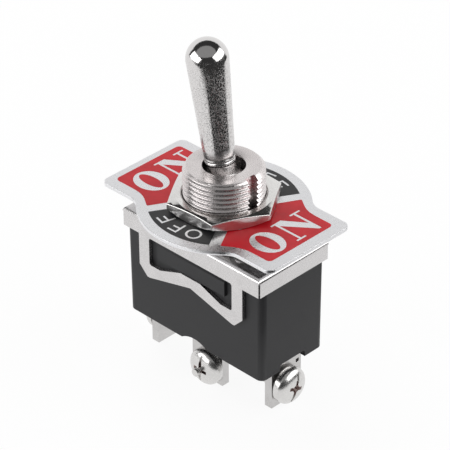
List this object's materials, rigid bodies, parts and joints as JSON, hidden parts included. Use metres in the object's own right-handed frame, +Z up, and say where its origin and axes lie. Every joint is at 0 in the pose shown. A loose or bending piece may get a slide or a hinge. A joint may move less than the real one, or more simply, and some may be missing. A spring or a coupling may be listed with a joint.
{
  "type": "panel toggle switch",
  "caption": "Panel toggle switch with a tilting metal lever, a threaded bushing with nuts and an on-off-on plate, a strapped moulded case and screw terminals.",
  "frame": {"origin": "on the bushing's axis, at the top face of the sheet-metal frame", "axes": "+Z up the bushing, +X along the case's long side, +Y to its back; the middle terminal faces -Y"},
  "size_m": [0.034, 0.0254, 0.0544],
  "materials": {
    "case": "moulded thermoset, dark grey, satin",
    "sheet_steel": "nickel-plated sheet steel, satin",
    "fibre": "vulcanised fibre, matt",
    "nickel": "nickel plating, bright",
    "plate": "matt aluminium with red and black printed fields",
    "lever": "bright plating with fine turning marks",
    "spring_steel": "drawn wire",
    "nylon": "moulded",
    "copper": "rolled strip",
    "silver": "satin",
    "terminal": "nickel-plated, satin",
    "screw": "nickel-plated, bright"
  },
  "bodies": {
    "housing": {"case": "case", "frame": "sheet_steel", "insulator_sheet": "fibre", "bushing": "nickel", "back_nut": "nickel", "lock_washer": "sheet_steel", "indicator_plate": "plate", "front_nut": "nickel", "fixed_contact_left": "silver", "fixed_contact_right": "silver", "terminal_left": "terminal", "terminal_right": "terminal", "terminal_middle": "terminal"},
    "lever": {"lever": "lever", "lever_pin": "spring_steel", "plunger_spring": "spring_steel"},
    "plunger": {"plunger": "nylon"},
    "rocker": {"rocker": "copper", "rocker_contact_left": "silver", "rocker_contact_right": "silver"},
    "screw_left": {"screw_left": "screw"},
    "screw_right": {"screw_right": "screw"},
    "screw_middle": {"screw_middle": "screw"}
  },
  "joints": [
    {"name": "lever_tilt", "type": "hinge", "parent": "housing", "child": "lever", "pos_m": [0, 0, 0.005], "axis": [0, 1, 0], "range_deg": [0, 17]},
    {"name": "rocker_tilt", "type": "hinge", "parent": "housing", "child": "rocker", "pos_m": [0, 0, -0.01025], "axis": [0, 1, 0], "range_deg": [-12, 0]},
    {"name": "plunger_slide", "type": "slide", "parent": "lever", "child": "plunger", "axis": [-0.1478, 0, 0.989], "range_m": [0, 0.0008], "stiffness_N_per_m": 400, "springref_m": -0.0015, "deforming": ["plunger_spring"]},
    {"name": "screw_left_travel", "type": "slide", "parent": "housing", "child": "screw_left", "axis": [-1, 0, 0], "range_m": [-0.0004, 0]},
    {"name": "screw_right_travel", "type": "slide", "parent": "housing", "child": "screw_right", "axis": [1, 0, 0], "range_m": [-0.0004, 0]},
    {"name": "screw_middle_travel", "type": "slide", "parent": "housing", "child": "screw_middle", "axis": [0, -1, 0], "range_m": [-0.0004, 0]}
  ],
  "couplings": [
    {"joint": "rocker_tilt", "follows": "lever_tilt", "ratio": -0.7058}
  ]
}
